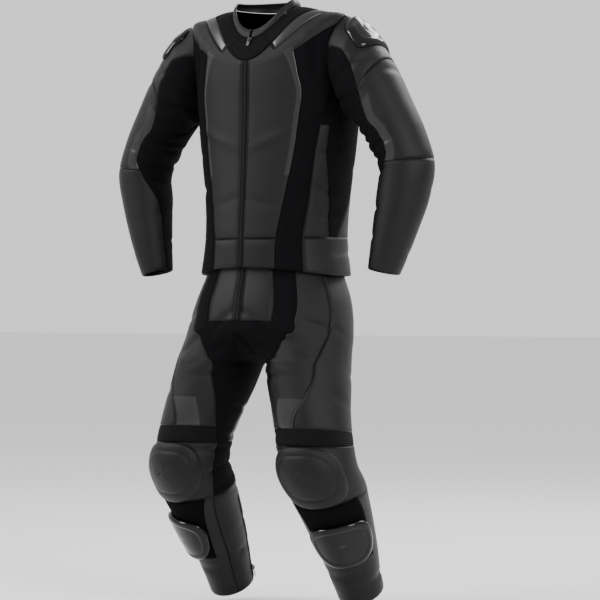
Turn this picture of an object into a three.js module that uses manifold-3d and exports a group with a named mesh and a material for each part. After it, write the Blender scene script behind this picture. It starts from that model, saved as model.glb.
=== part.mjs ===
// Two-piece motorcycle race suit, filled out with no wearer. Millimetres, +Z up, the front faces -Y and the
// wearer's left is +X. The origin is the base of the neck, where the wearer's shoulders hold the suit.
// Every panel is a wall cut from a grid of nodes on a lofted tube: torso, sleeve or leg. Panels that meet share
// their nodes, and each is drawn back half a seam.
import Module from 'manifold-3d';
import * as THREE from 'three';
import { mergeVertices } from 'three/addons/utils/BufferGeometryUtils.js';

const WALL = 2;
const SEAM = 0.3;
// Pieces raised on a panel: from low to high above it, with the height of the border and how far it is drawn back.
const SHOULDER_CUP = { low: 0.8, high: 9, rim: 3, draw: 3 };
const KNEE_CUP = { low: 0.9, high: 12, rim: 3.5, draw: 3 };
const THROAT_FLAP = { low: 0.5, high: 2.3, draw: 1 };
const LOOP_PATCH = { low: 0.5, high: 2.3, draw: 1.5 };
const KNEE_SLIDER = { low: 3.2, high: 17, rim: 9, draw: 9 };
const COLLAR = { low: -3 };
const CONNECTION_DEPTH = 5.2;
const ANKLE_PULL_PLACE = 0.35;
// Zip slider: half width, length, base thickness, half length of the bridge, half width of its posts, height of
// its beam, and its seat above the zip. Pull tab: half widths of the plate and of its window, half of its top
// bar, thickness, height of the hinge above the slider's foot, and lengths.
const SLIDER = { half: 4.5, length: 12, base: 2.2, bridge: 4, post: 1, beam: 5.6, seat: 0.7 };
const TAB = { half: 3.5, window: 1.6, bar: 0.8, thick: 1.6, hinge: 3.6, front_length: 16, ankle_length: 24 };
const SIDES = ['left', 'right'];

const LEATHER = { color: 0x232327, roughness: 0.55, metalness: 0 };
const STRETCH = { color: 0x101013, roughness: 0.9, metalness: 0 };
const GLOSS = { color: 0x4c4c52, roughness: 0.3, metalness: 0 };
const PLASTIC = { color: 0x0b0b0d, roughness: 0.15, metalness: 0 };
const METAL = { color: 0x55565a, roughness: 0.35, metalness: 0.9 };

const table = (names, rows) => rows.map((row) => Object.fromEntries(names.split(' ').map((n, i) => [n, row[i]])));

// Torso rings from the hem to the neck, row by row. at is the ring's number along the tube. Heights and depths are
// given at the front centre, the side and the back centre, with the half width. drop and taper are the powers by
// which height and depth fall away from the front centre.
const TORSO = table('at front_z side_z back_z half front_y side_y back_y drop taper', [
  [0, -571, -589, -592, 180, -159, -4, 150, 2, 0.92],
  [1, -505, -501, -503, 168, -157, 0, 151, 2, 0.92],
  [2, -411, -411, -411, 172, -150, 4, 157, 2, 0.92],
  [3, -310, -310, -310, 187, -144, 6, 158, 2, 0.92],
  [4, -223, -223, -223, 199, -141, 6, 156, 2, 0.92],
  [5, -185, -150, -168, 204, -140, 4, 154, 2, 0.94],
  [6, -150, -83, -112, 207, -140, -6, 147, 2.2, 1],
  [7, -122, -32, -62, 209, -139, -18, 134, 2.4, 1.1],
  [8, -106, 8, -22, 207, -138, -36, 116, 2.6, 1.25],
  [9, -99, 17, -4, 170, -137, -42, 98, 3.2, 1.5],
  [10, -92, 23, 10, 145, -134, -45, 84, 4.4, 1.8],
  [11, -66, 31, 23, 112, -126, -45, 58, 3.2, 1.5],
  [12, -40, 34, 31, 82, -114, -44, 27, 2, 1],
]);
const ARMPIT = 4;
const SHOULDER = 8;

// Seam lines on the left half of the torso, in degrees round from the front centre.
const TORSO_SEAMS = table('at zip gloss_edge front_edge wedge_front wedge_back side stretch_back', [
  [0, 1.6, 21, 26.5, 50, 82, 86, 92],
  [1, 1.6, 24, 29, 51.7, 79, 83.5, 88],
  [2, 1.6, 30, 34, 55.5, 76, 90, 108],
  [3, 1.6, 34, 38, 55.5, 67, 90, 111],
  [4, 1.6, 35.5, 39.5, 57, 66, 90, 114],
  [5, 1.6, 36.5, 40.5, 49, 57, 90, 134],
  [6, 1.6, 33, 37, 45, 52, 90, 138],
  [8, 1.6, 26, 33, 50, 68, 90, 140],
  [12, 1.6, 22, 34, 52, 70, 90, 140],
]);
// Half angle between the side of the torso and the armhole's edge, from the armpit to the shoulder.
const ARMHOLE = table('at half_angle', [
  [4, 0], [4.5, 17], [5, 24], [5.5, 28], [6, 30], [6.5, 30], [7, 28], [7.5, 20], [8, 0],
]);

// Sleeve rings beyond the armhole. lean is the angle of the ring's outward radius above the horizontal.
const SLEEVE = table('at x y z outward forward lean', [
  [1, 229, -20, -120, 106, 80, 80],
  [2, 257, -20, -147, 90, 80, 67],
  [3, 284, -20, -184, 79, 75, 54],
  [4, 311, -22, -230, 70, 71, 39],
  [5, 341, -22, -286, 67, 68, 20],
  [6, 363, -22, -345, 64, 65, 3],
  [7, 354, -24, -411, 60, 62, -8],
  [8, 342, -31, -470, 53, 55, -11],
  [9, 328, -37, -530, 45, 47, -12],
  [10, 314, -41, -582, 37, 39, -13],
]);

// Hip rings of the trousers, as half rings from the front centre round the left side to the back centre.
const HIPS = table('at front_z side_z back_z half front_y side_y back_y', [
  [0, -548, -548, -540, 156, -147, -8, 132],
  [1, -586, -586, -580, 164, -150, -9, 137],
  [2, -640, -645, -636, 188, -164, -15, 140],
  [3, -686, -696, -676, 202, -172, -27, 132],
  [4, -716, -742, -706, 212, -176, -38, 112],
]);
const CROTCH = { at: 4, z: -766 };
// Leg rings below the crotch. open is how far past the front and back the outer seams run round the leg.
const LEG = table('at x y z across deep pitch open', [
  [5, 121, -58, -794, 97, 113, -6, 60],
  [6, 132, -70, -840, 96, 104, -9, 62],
  [7, 144, -83, -886, 92, 98, -10, 70],
  [8, 157, -94, -935, 89, 93, -6, 80],
  [9, 167, -100, -982, 89, 91, 0, 84],
  [10, 175, -99, -1030, 91, 91, 8, 80],
  [11, 179, -66, -1078, 89, 88, 20, 70],
  [12, 180, -35, -1122, 82, 82, 28, 62],
  [13, 180, -1, -1175, 75, 75, 30, 62],
  [14, 180, 34, -1232, 66, 67, 31, 62],
  [15, 180, 61, -1285, 58, 60, 31, 62],
  [16, 181, 84, -1328, 54, 56, 31, 62],
]);
// Seam lines on the left leg, in degrees round the leg from its front, outward positive.
const LEG_SEAMS = table('at zip fly stretch_edge cup_inner front_seam cup_outer outer_seam', [
  [0, 1.6, 26, 46, 55, 73, 100, 135],
  [2, 1.6, 26, 44.5, 54, 73, 100, 135],
  [3, 1.6, 24, 41, 52, 72, 98, 135],
  [4, 1.6, 18, 34, 45, 66, 94, 135],
  [5, -50, -36, -24, 4, 46, 88, 138],
  [6, -55, -44, -34, -6, 38, 84, 140],
  [7, -62, -56, -50, -20, 22, 78, 142],
  [8, -74, -68, -62, -36, 2, 72, 144],
  [9, -80, -76, -72, -44, 4, 68, 146],
  [10, -76, -72, -68, -48, 8, 70, 148],
  [11, -66, -62, -58, -42, 14, 76, 150],
  [12, -58, -54, -50, -30, 27, 84, 152],
  [14, -58, -54, -48, -22, 30, 84, 152],
  [16, -58, -54, -48, -22, 30, 84, 152],
]);

// Collar rings: base on the torso's neck ring, then the top edge.
const COLLAR_TOP = { front_z: -20, side_z: 51, back_z: 54, half: 76, front_y: -106, side_y: -44, back_y: 21 };

const rad = THREE.MathUtils.degToRad;
const vec = (x, y, z) => new THREE.Vector3(x, y, z);

// A smooth curve through one column of a table.
function column(rows, name) {
  const slope = (i) => {
    const a = rows[Math.max(i - 1, 0)];
    const b = rows[Math.min(i + 1, rows.length - 1)];
    return (b[name] - a[name]) / (b.at - a.at);
  };
  return (at) => {
    let i = 0;
    while (i < rows.length - 2 && at > rows[i + 1].at) i += 1;
    const step = rows[i + 1].at - rows[i].at;
    const t = (at - rows[i].at) / step;
    const [p, q] = [rows[i][name], rows[i + 1][name]];
    const [m, n] = [slope(i) * step, slope(i + 1) * step];
    return p + t * (m + t * (3 * (q - p) - 2 * m - n + t * (2 * (p - q) + m + n)));
  };
}
const columns = (rows) => Object.fromEntries(Object.keys(rows[0]).map((name) => [name, column(rows, name)]));
const read = (curves, at) => Object.fromEntries(Object.entries(curves).map(([name, f]) => [name, f(at)]));

// A point of a torso or hip ring at an angle from the front centre.
function bodyPoint(ring, degrees) {
  const s = Math.sin(rad(degrees));
  const c = Math.cos(rad(degrees));
  const drop = Math.abs(c) ** (ring.drop ?? 2);
  const taper = Math.abs(c) ** (ring.taper ?? 0.95);
  const end = c > 0 ? { z: ring.front_z, y: ring.front_y } : { z: ring.back_z, y: ring.back_y };
  const x = ring.half * Math.sign(s) * Math.abs(s) ** 0.95;
  return vec(x, ring.side_y + (end.y - ring.side_y) * taper, ring.side_z + (end.z - ring.side_z) * drop);
}

const node = (p) => ({ p, n: vec(0, 0, 0) });
const between = (a, b, parts) => Array.from({ length: parts }, (_, i) => a + ((b - a) * i) / parts);

// Torso grid: one half runs from the front centre to the back centre. The side line is doubled, because the
// armhole parts it into a front and a rear edge.
const torsoRows = [0, 0.5, 1, 1.5, 2, 2.5, 3, 3.4, 3.75, 4, 4.5, 5, 5.5, 6, 6.5, 7, 7.5, 8, 9, 10, 11, 11.5, 12];
const torsoCurves = columns(TORSO);
const torsoSeams = columns(TORSO_SEAMS);
const armhole = column(ARMHOLE, 'half_angle');
const torsoMark = {
  centre: 0, zip: 1, gloss_edge: 3, front_edge: 4, wedge_front: 5, wedge_back: 6, side: 7, rear: 8, stretch_back: 9,
  back: 13,
};

function torsoAngles(at) {
  const line = read(torsoSeams, at);
  const open = at > ARMPIT && at < SHOULDER ? armhole(at) : 0;
  const front = line.side - open;
  const rear = line.side + open;
  const fit = (value) => (at > ARMPIT ? Math.min(value, front - 3) : value);
  const wedgeFront = open ? line.front_edge + (front - line.front_edge) / 3 : fit(line.wedge_front);
  const wedgeBack = open ? line.front_edge + ((front - line.front_edge) * 2) / 3 : fit(line.wedge_back);
  return [
    0, ...between(line.zip, line.gloss_edge, 2), line.gloss_edge, line.front_edge, wedgeFront, wedgeBack, front,
    rear, ...between(line.stretch_back, 180, 4), 180,
  ];
}

function torsoGrid() {
  return torsoRows.map((at) => {
    const ring = read(torsoCurves, at);
    const angles = torsoAngles(at);
    const whole = at <= ARMPIT || at >= SHOULDER;
    const left = angles.map((a) => node(bodyPoint(ring, a)));
    const right = angles.map((a) => node(bodyPoint(ring, -a)));
    if (whole) {
      left[torsoMark.rear] = left[torsoMark.side];
      right[torsoMark.rear] = right[torsoMark.side];
    }
    right[0] = left[0];
    right[torsoMark.back] = left[torsoMark.back];
    return { left, right };
  });
}
const torso = torsoGrid();
const torsoRow = (at) => torsoRows.indexOf(at);
const torsoHalf = (side) => torso.map((row) => row[side]);

// Sleeve grid of one side: ring 0 is the armhole itself, shared with the torso.
const sleeveCurves = columns(SLEEVE);
const sleeveRows = [0, 0.5, 1, 1.5, 2, 2.6, 3.2, 3.9, 4.6, 5.2, 5.8, 6.4, 7.2, 8, 9, 10];
const capRows = [4, 4.5, 5, 5.5, 6, 6.5, 7, 7.5, 8];
// Angle of each sleeve column round the arm: -90 at the armpit, 0 in front, 90 on top and 180 behind.
const SLEEVE_SEAMS = table('at edge gloss', [
  [0, 22, 45], [1, 22, 45], [2, 12, 35], [3, -5, 18], [4, -14, 6], [4.6, -6, 14], [5.4, -8, 14], [6, -30, -4],
  [7, -60, -38], [8, -70, -50], [10, -74, -54],
]);
const sleeveSeams = columns(SLEEVE_SEAMS);
const EDGE = 5;
const TOP = 8;
const INNER_BACK = 13;
// Angles of the sleeve's top line and of the stretch panel's rear edge, with its turn from ring to ring.
const ARM_TOP = 96;
const INNER_START = 230;
const INNER_TURN = 1.5;

function sleeveAngles(at) {
  const { edge, gloss } = read(sleeveSeams, at);
  const back = INNER_START + Math.min(at, 8) * INNER_TURN;
  return [
    ...between(-90, edge, EDGE), edge, gloss, (gloss + ARM_TOP) / 2, ...between(ARM_TOP, back, 5),
    ...between(back, 270, 3), 270,
  ];
}
function armPoint(at, degrees, sign) {
  const ring = read(sleeveCurves, at);
  const c = Math.cos(rad(degrees)) * ring.forward;
  const s = Math.sin(rad(degrees)) * ring.outward;
  const x = ring.x + s * Math.cos(rad(ring.lean));
  return vec(sign * x, ring.y - c, ring.z + s * Math.sin(rad(ring.lean)));
}
function sleeveGrid(side) {
  const sign = side === 'left' ? 1 : -1;
  const half = torsoHalf(side);
  const cap = [
    ...capRows.map((at) => half[torsoRow(at)][torsoMark.side]),
    ...capRows.slice(1, -1).reverse().map((at) => half[torsoRow(at)][torsoMark.rear]),
  ];
  const start = (angles, j) => {
    const first = armPoint(1, angles[j], sign);
    const second = armPoint(1.5, angles[j], sign);
    return { first, lead: second.sub(first) };
  };
  return sleeveRows.map((at) => {
    if (at === 0) return [...cap, cap[0]];
    const angles = sleeveAngles(at);
    const ring = angles.slice(0, -1).map((a, j) => {
      if (at >= 1) return node(armPoint(at, a, sign));
      const { first, lead } = start(sleeveAngles(1), j);
      const mid = cap[j].p.clone().add(first).multiplyScalar(0.5);
      return node(mid.addScaledVector(lead, -0.25));
    });
    return [...ring, ring[0]];
  });
}
const sleeve = { left: sleeveGrid('left'), right: sleeveGrid('right') };
const sleeveRow = (at) => sleeveRows.indexOf(at);

// Trousers grid of the left half. Columns 0 to OUTER run from the front centre round the outside to the back
// centre; the rest are the inside of the leg and start at the crotch.
const hipCurves = columns(HIPS);
const legCurves = columns(LEG);
const legSeams = columns(LEG_SEAMS);
const legRows = [0, 1, 1.6, 2.2, 2.7, 3.2, 4, 5, 6, 7, 7.6, 8.2, 8.9, 9.5, 10, 10.5, 11.2, 12, 12.6, 13.2, 13.9, 15, 16];
const LEG_PARTS = { zip: 1, fly: 2, stretch_edge: 3, cup_inner: 4, front_seam: 6, cup_outer: 8, outer_seam: 10, back: 12 };
// The inside of the leg: the ankle zip's strip, then two equal stretches.
const INNER = 3;
const ZIP_ANGLE = 9;
const OUTER = LEG_PARTS.back;

function legAngles(at) {
  const line = read(legSeams, at);
  const open = at <= CROTCH.at ? 0 : column(LEG, 'open')(Math.max(at, 5));
  return [
    -open, line.zip, line.fly, line.stretch_edge, ...between(line.cup_inner, line.front_seam, 2),
    ...between(line.front_seam, line.cup_outer, 2), ...between(line.cup_outer, line.outer_seam, 2),
    ...between(line.outer_seam, 180 + open, 2), 180 + open,
    180 + open + ZIP_ANGLE, (540 + ZIP_ANGLE) / 2,
  ];
}
function legPoint(at, degrees) {
  const ring = read(legCurves, at);
  const s = Math.sin(rad(degrees)) * ring.across;
  const c = Math.cos(rad(degrees)) * ring.deep;
  return vec(ring.x + s, ring.y - c * Math.cos(rad(ring.pitch)), ring.z - c * Math.sin(rad(ring.pitch)));
}
function crotchPoint(front, back, t) {
  const y = THREE.MathUtils.lerp(back.y, front.y, 0.5 - 0.5 * Math.cos(Math.PI * t));
  const rim = THREE.MathUtils.lerp(back.z, front.z, t);
  return vec(0, y, rim + (CROTCH.z - rim) * Math.sin(Math.PI * t) ** 0.7);
}
function legGrid() {
  return legRows.map((at) => {
    const angles = legAngles(at);
    if (at > CROTCH.at) {
      const ring = angles.map((a) => node(legPoint(at, a)));
      return [...ring, ring[0]];
    }
    const hip = read(hipCurves, at);
    const ring = angles.slice(0, OUTER + 1).map((a) => node(bodyPoint(hip, a)));
    ring[0].p.x = 0;
    ring[OUTER].p.x = 0;
    if (at < CROTCH.at) return ring;
    for (let k = 1; k < INNER; k += 1) ring.push(node(crotchPoint(ring[0].p, ring[OUTER].p, k / INNER)));
    return [...ring, ring[0]];
  });
}
const mirrored = (n) => node(vec(-n.p.x, n.p.y, n.p.z));
function mirrorGrid(grid) {
  const twin = new Map();
  const partner = (n) => {
    if (n.p.x === 0) return n;
    if (!twin.has(n)) twin.set(n, mirrored(n));
    return twin.get(n);
  };
  return grid.map((row) => row.map(partner));
}
const leftLeg = legGrid();
const legs = { left: leftLeg, right: mirrorGrid(leftLeg) };
const legRow = (at) => legRows.indexOf(at);

// Collar grid, open at the front centre: its base nodes are the torso's neck ring.
const neck = torso[torso.length - 1];
const neckNodes = [...neck.left.slice(1), ...neck.right.slice(1, -1).reverse()].filter(
  (n, i, all) => all.indexOf(n) === i,
);
function collarTop(n) {
  const ring = read(torsoCurves, 12);
  const angle = Math.atan2(n.p.x / ring.half, -(n.p.y - ring.side_y) / (n.p.y < ring.side_y ? 70 : 71));
  return node(bodyPoint(COLLAR_TOP, THREE.MathUtils.radToDeg(angle)));
}
const collarUpper = neckNodes.map(collarTop);
const collarMiddle = neckNodes.map((n, i) => node(n.p.clone().lerp(collarUpper[i].p, 0.5)));
const collar = [neckNodes, collarMiddle, collarUpper];

// The cells of a grid between two rows and two columns. flip is set where the columns run clockwise.
function block(grid, rows, cols, flip = false) {
  const cells = [];
  for (let i = rows[0]; i < rows[1]; i += 1) {
    for (let j = cols[0]; j < cols[1]; j += 1) {
      const quad = [grid[i][j], grid[i][j + 1], grid[i + 1][j + 1], grid[i + 1][j]];
      cells.push(flip ? quad.reverse() : quad);
    }
  }
  return cells;
}
function torsoBlock(side, from, to, a, b) {
  const rows = [torsoRow(from), torsoRow(to)];
  const cols = [torsoMark[a], torsoMark[b]];
  const grid = torsoHalf(side);
  const flip = side === 'right';
  if (a !== 'rear' && cols[0] < torsoMark.rear && cols[1] > torsoMark.side) {
    return [
      ...block(grid, rows, [cols[0], torsoMark.side], flip),
      ...block(grid, rows, [torsoMark.rear, cols[1]], flip),
    ];
  }
  return block(grid, rows, cols, flip);
}
const sleeveBlock = (side, from, to, a, b) =>
  block(sleeve[side], [sleeveRow(from), sleeveRow(to)], [a, b], side === 'left');
const legBlock = (side, from, to, a, b) =>
  block(legs[side], [legRow(from), legRow(to)], [a, b], side === 'left');

// Node normals: area-weighted over every cell of every grid that meets there.
function addNormals(cells) {
  for (const quad of cells) {
    const across = quad[2].p.clone().sub(quad[0].p);
    const normal = across.cross(quad[3].p.clone().sub(quad[1].p));
    new Set(quad).forEach((n) => n.n.add(normal));
  }
}
const lastTorso = torsoRows[torsoRows.length - 1];
for (const side of SIDES) {
  addNormals(torsoBlock(side, 0, ARMPIT, 'centre', 'back'));
  addNormals(torsoBlock(side, ARMPIT, SHOULDER, 'centre', 'side'));
  addNormals(torsoBlock(side, ARMPIT, SHOULDER, 'rear', 'back'));
  addNormals(torsoBlock(side, SHOULDER, lastTorso, 'centre', 'back'));
  addNormals(sleeveBlock(side, 0, 10, 0, 16));
  addNormals(legBlock(side, 0, 16, 0, OUTER));
  addNormals(legBlock(side, CROTCH.at, 16, OUTER, OUTER + INNER));
}
const collarCells = block(collar, [0, 2], [0, neckNodes.length - 1]);
const upperRows = new Set([...collarMiddle, ...collarUpper]);
for (const quad of collarCells) {
  const normal = quad[2].p.clone().sub(quad[0].p).cross(quad[3].p.clone().sub(quad[1].p));
  quad.filter((n) => upperRows.has(n)).forEach((n) => n.n.add(normal));
}
const everyNode = new Set([
  ...torso.flatMap((row) => [...row.left, ...row.right]), ...sleeve.left.flat(), ...sleeve.right.flat(),
  ...legs.left.flat(), ...legs.right.flat(), ...collarMiddle, ...collarUpper,
]);
everyNode.forEach((n) => n.n.normalize());

// How far a border node is drawn back from the seam, along the surface.
function drawBack(n, before, after, amount) {
  const inward = (from, to) => n.n.clone().cross(to.p.clone().sub(from.p)).normalize();
  const a = inward(before, n);
  const b = inward(n, after);
  const sum = a.clone().add(b);
  return sum.multiplyScalar(amount / Math.max(1 + a.dot(b), 0.35));
}

// Corners lie on a grid of 1/256 mm, which every number format holds exactly.
const snap = (v) => Math.round(v * 256) / 256;

// The diagonal of a seam's side wall, the same for both panels that meet there.
const slant = (top, foot) => foot.p.clone().addScaledVector(foot.n, -WALL).distanceTo(top.p);

// A wall over some cells, from low to high along the node normals. Its border stands rim high and is drawn back.
function wall(cells, { low = -WALL, high = 0, draw = SEAM / 2, rim = high } = {}) {
  const edges = new Map();
  const id = new Map();
  const number = (n) => {
    if (!id.has(n)) id.set(n, id.size);
    return id.get(n);
  };
  for (const quad of cells) {
    quad.forEach((n, i) => {
      const next = quad[(i + 1) % 4];
      if (n === next) return;
      const back = `${number(next)}>${number(n)}`;
      if (edges.has(back)) edges.delete(back);
      else edges.set(`${number(n)}>${number(next)}`, [n, next]);
    });
  }
  const after = new Map();
  const before = new Map();
  for (const [a, b] of edges.values()) {
    after.set(a, b);
    before.set(b, a);
  }
  const outer = [];
  const inner = [];
  for (const [n, k] of id) {
    const border = after.has(n);
    const shift = border ? drawBack(n, before.get(n), after.get(n), draw) : vec(0, 0, 0);
    outer[k] = n.p.clone().addScaledVector(n.n, border ? rim : high).add(shift);
    inner[k] = n.p.clone().addScaledVector(n.n, low).add(shift);
  }
  const corner = [];
  const triangle = (...points) => points.forEach((p) => corner.push(...p.toArray().map(snap)));
  for (const quad of cells) {
    const [a, b, c, d] = quad.map((n) => id.get(n));
    const cut = outer[a].distanceTo(outer[c]) <= outer[b].distanceTo(outer[d]);
    const parts = cut ? [[a, b, c], [a, c, d]] : [[a, b, d], [b, c, d]];
    for (const [i, j, k] of parts) {
      triangle(outer[i], outer[j], outer[k]);
      triangle(inner[i], inner[k], inner[j]);
    }
  }
  for (const [p, q] of edges.values()) {
    const [a, b] = [id.get(p), id.get(q)];
    if (slant(q, p) <= slant(p, q)) {
      triangle(outer[b], outer[a], inner[a]);
      triangle(outer[b], inner[a], inner[b]);
    } else {
      triangle(outer[b], outer[a], inner[b]);
      triangle(outer[a], inner[a], inner[b]);
    }
  }
  const geometry = new THREE.BufferGeometry();
  geometry.setAttribute('position', new THREE.Float32BufferAttribute(corner, 3));
  return geometry;
}

const suit = new THREE.Group();
function add(name, geometry, finish) {
  const mesh = new THREE.Mesh(geometry, new THREE.MeshStandardMaterial(finish));
  mesh.name = name;
  mesh.geometry.computeVertexNormals();
  suit.add(mesh);
  return mesh;
}

// Jacket body
function jacket() {
  for (const side of SIDES) {
    const part = (from, to, a, b) => torsoBlock(side, from, to, a, b);
    add(`jacket_hem_band_front_${side}`, wall(part(0, 1, 'zip', 'front_edge')), LEATHER);
    add(`jacket_side_wedge_${side}`, wall(part(1, 3.75, 'wedge_front', 'wedge_back')), LEATHER);
    add(
      `jacket_and_sleeve_stretch_${side}`,
      wall([
        ...part(0, 7.5, 'front_edge', 'wedge_front'), ...part(3.75, 7.5, 'wedge_front', 'wedge_back'),
        ...part(1, 7.5, 'wedge_back', 'side'), ...part(1, 5.5, 'rear', 'stretch_back'),
        ...sleeveBlock(side, 0, 10, INNER_BACK, 16), ...sleeveBlock(side, 0, 10, 0, EDGE),
      ]),
      STRETCH,
    );
    add(
      `jacket_front_${side}`,
      wall([
        ...part(1, 10, 'zip', 'gloss_edge'), ...part(1, 9, 'gloss_edge', 'front_edge'),
        ...part(7.5, 9, 'front_edge', 'side'),
      ]),
      LEATHER,
    );
  }
  const backCells = SIDES.flatMap((side) => [
    ...torsoBlock(side, 1, 9, 'stretch_back', 'back'), ...torsoBlock(side, 5.5, 9, 'rear', 'stretch_back'),
  ]);
  add('jacket_back', wall(backCells), LEATHER);
  const joined = (from, to, a, b) => SIDES.flatMap((side) => torsoBlock(side, from, to, a, b));
  add('jacket_hem_band_back', wall(joined(0, 1, 'wedge_front', 'back')), LEATHER);
  add('jacket_yoke_strip', wall(joined(9, 10, 'gloss_edge', 'back')), GLOSS);
  add('jacket_yoke', wall(joined(10, 12, 'zip', 'back')), STRETCH);
  add('jacket_front_zip', wall(joined(0, 12, 'centre', 'zip')), STRETCH);
  const flap = joined(10, 11.5, 'centre', 'gloss_edge');
  add('throat_flap', wall(flap, THROAT_FLAP), STRETCH);
  add('jacket_collar', wall(collarCells, COLLAR), LEATHER);
}

// Sleeves with their shoulder cups
function sleeves() {
  for (const side of SIDES) {
    const part = (from, to, a, b) => sleeveBlock(side, from, to, a, b);
    add(`sleeve_shoulder_${side}`, wall(part(0, 2.6, EDGE, INNER_BACK)), LEATHER);
    add(`sleeve_upper_arm_${side}`, wall(part(2.6, 5.8, EDGE, INNER_BACK)), LEATHER);
    add(`sleeve_forearm_${side}`, wall(part(5.8, 10, EDGE, INNER_BACK)), LEATHER);
    add(`shoulder_cup_${side}`, wall(part(0.5, 2, TOP - 2, TOP + 3), SHOULDER_CUP), PLASTIC);
  }
}

// Trousers, with one gusset of stretch cloth from leg to leg
function trousers() {
  const strip = LEG_PARTS;
  const joined = (from, to, a, b) => SIDES.flatMap((side) => legBlock(side, from, to, a, b));
  add('trousers_fly_zip', wall(joined(0, 3.2, 0, strip.zip)), STRETCH);
  add(
    'trousers_inner_stretch',
    wall([
      ...joined(0, 3.2, strip.fly, strip.stretch_edge), ...joined(3.2, 8.9, 0, strip.stretch_edge),
      ...joined(4, 8.9, OUTER, OUTER + INNER),
    ]),
    STRETCH,
  );
  add(
    'trousers_back',
    wall(joined(0, 8.9, strip.outer_seam, OUTER)),
    LEATHER,
  );
  for (const side of SIDES) {
    const part = (from, to, a, b) => legBlock(side, from, to, a, b);
    add(`trousers_fly_${side}`, wall(part(0, 3.2, strip.zip, strip.fly)), LEATHER);
    add(`thigh_front_${side}`, wall(part(0, 8.2, strip.stretch_edge, strip.front_seam)), LEATHER);
    add(`thigh_outer_${side}`, wall(part(0, 8.2, strip.front_seam, strip.outer_seam)), LEATHER);
    add(`knee_rib_band_${side}`, wall(part(8.2, 8.9, strip.stretch_edge, strip.outer_seam)), STRETCH);
    add(`knee_panel_${side}`, wall(part(8.9, 11.2, strip.stretch_edge, strip.outer_seam)), LEATHER);
    add(
      `knee_back_stretch_${side}`,
      wall([...part(8.9, 11.2, strip.outer_seam, OUTER + INNER), ...part(8.9, 11.2, 0, strip.stretch_edge)]),
      STRETCH,
    );
    add(`shin_${side}`, wall(part(11.2, 16, strip.stretch_edge, strip.outer_seam)), LEATHER);
    add(
      `calf_${side}`,
      wall([
        ...part(11.2, 16, strip.outer_seam, OUTER), ...part(11.2, 12, OUTER, OUTER + 1),
        ...part(11.2, 16, OUTER + 1, OUTER + INNER), ...part(11.2, 16, 0, strip.stretch_edge),
      ]),
      LEATHER,
    );
    add(`ankle_zip_${side}`, wall(part(12, 16, OUTER, OUTER + 1)), STRETCH);
    const cup = part(8.9, 11.2, strip.cup_inner, strip.cup_outer);
    add(`knee_cup_${side}`, wall(cup, KNEE_CUP), LEATHER);
    const patch = part(11.2, 13.9, strip.cup_inner, strip.cup_outer);
    add(`loop_patch_${side}`, wall(patch, LOOP_PATCH), STRETCH);
    const puck = part(12, 13.9, strip.cup_inner, strip.cup_outer);
    add(`knee_slider_${side}`, wall(puck, KNEE_SLIDER), PLASTIC);
  }
}

// The zip that joins jacket and trousers, hidden inside the jacket's hem
function connectionZip() {
  const cells = SIDES.flatMap((side) => torsoBlock(side, 0, 0.5, 'centre', 'back'));
  const top = -WALL - SEAM;
  add('connection_zip', wall(cells, { low: top - CONNECTION_DEPTH, high: top }), STRETCH);
}

// Zip sliders and pull tabs. across, along and out are the slider's own directions on the zip.
const wasm = await Module();
wasm.setup();
function solid(geometry) {
  geometry.deleteAttribute('normal');
  geometry.deleteAttribute('uv');
  const merged = mergeVertices(geometry, 1e-4);
  const vertProperties = new Float32Array(merged.attributes.position.array);
  return new wasm.Manifold(new wasm.Mesh({
    numProp: 3, vertProperties, triVerts: new Uint32Array(merged.index.array),
  }));
}
function brick(across, along, out) {
  const size = [across, along, out].map(([a, b]) => b - a);
  const geometry = new THREE.BoxGeometry(...size);
  geometry.translate(...[across, along, out].map(([a, b]) => (a + b) / 2));
  return solid(geometry);
}
function fromSolid(body) {
  const { vertProperties, triVerts } = body.getMesh();
  const geometry = new THREE.BufferGeometry();
  geometry.setAttribute('position', new THREE.BufferAttribute(vertProperties, 3));
  geometry.setIndex(new THREE.BufferAttribute(triVerts, 1));
  return geometry;
}
function sliderSolid() {
  const { half, length, base, bridge, post, beam } = SLIDER;
  return brick([-half, half], [-length / 2, length / 2], [0, base])
    .add(brick([-post, post], [-bridge, -bridge + post], [base - 0.5, beam]))
    .add(brick([-post, post], [bridge - post, bridge], [base - 0.5, beam]))
    .add(brick([-post, post], [-bridge, bridge], [beam - 0.5, beam + 1]));
}
function tabSolid(length) {
  const { half, window, bar, thick, hinge } = TAB;
  const height = [hinge - thick / 2, hinge + thick / 2];
  return brick([-half, half], [-bar, length], height)
    .subtract(brick([-window, window], [bar, SLIDER.bridge + 1.4], [hinge - thick, hinge + thick]));
}
function zipPull(name, foot, along, out, length) {
  const across = along.clone().cross(out).normalize();
  const frame = new THREE.Matrix4().makeBasis(across, along, out);
  frame.setPosition(foot.clone().addScaledVector(out, SLIDER.seat));
  const slider = add(`${name}_slider`, fromSolid(sliderSolid()), METAL);
  slider.applyMatrix4(frame);
  const tab = add(`${name}_pull_tab`, fromSolid(tabSolid(length)), METAL);
  tab.applyMatrix4(frame);
}
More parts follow.
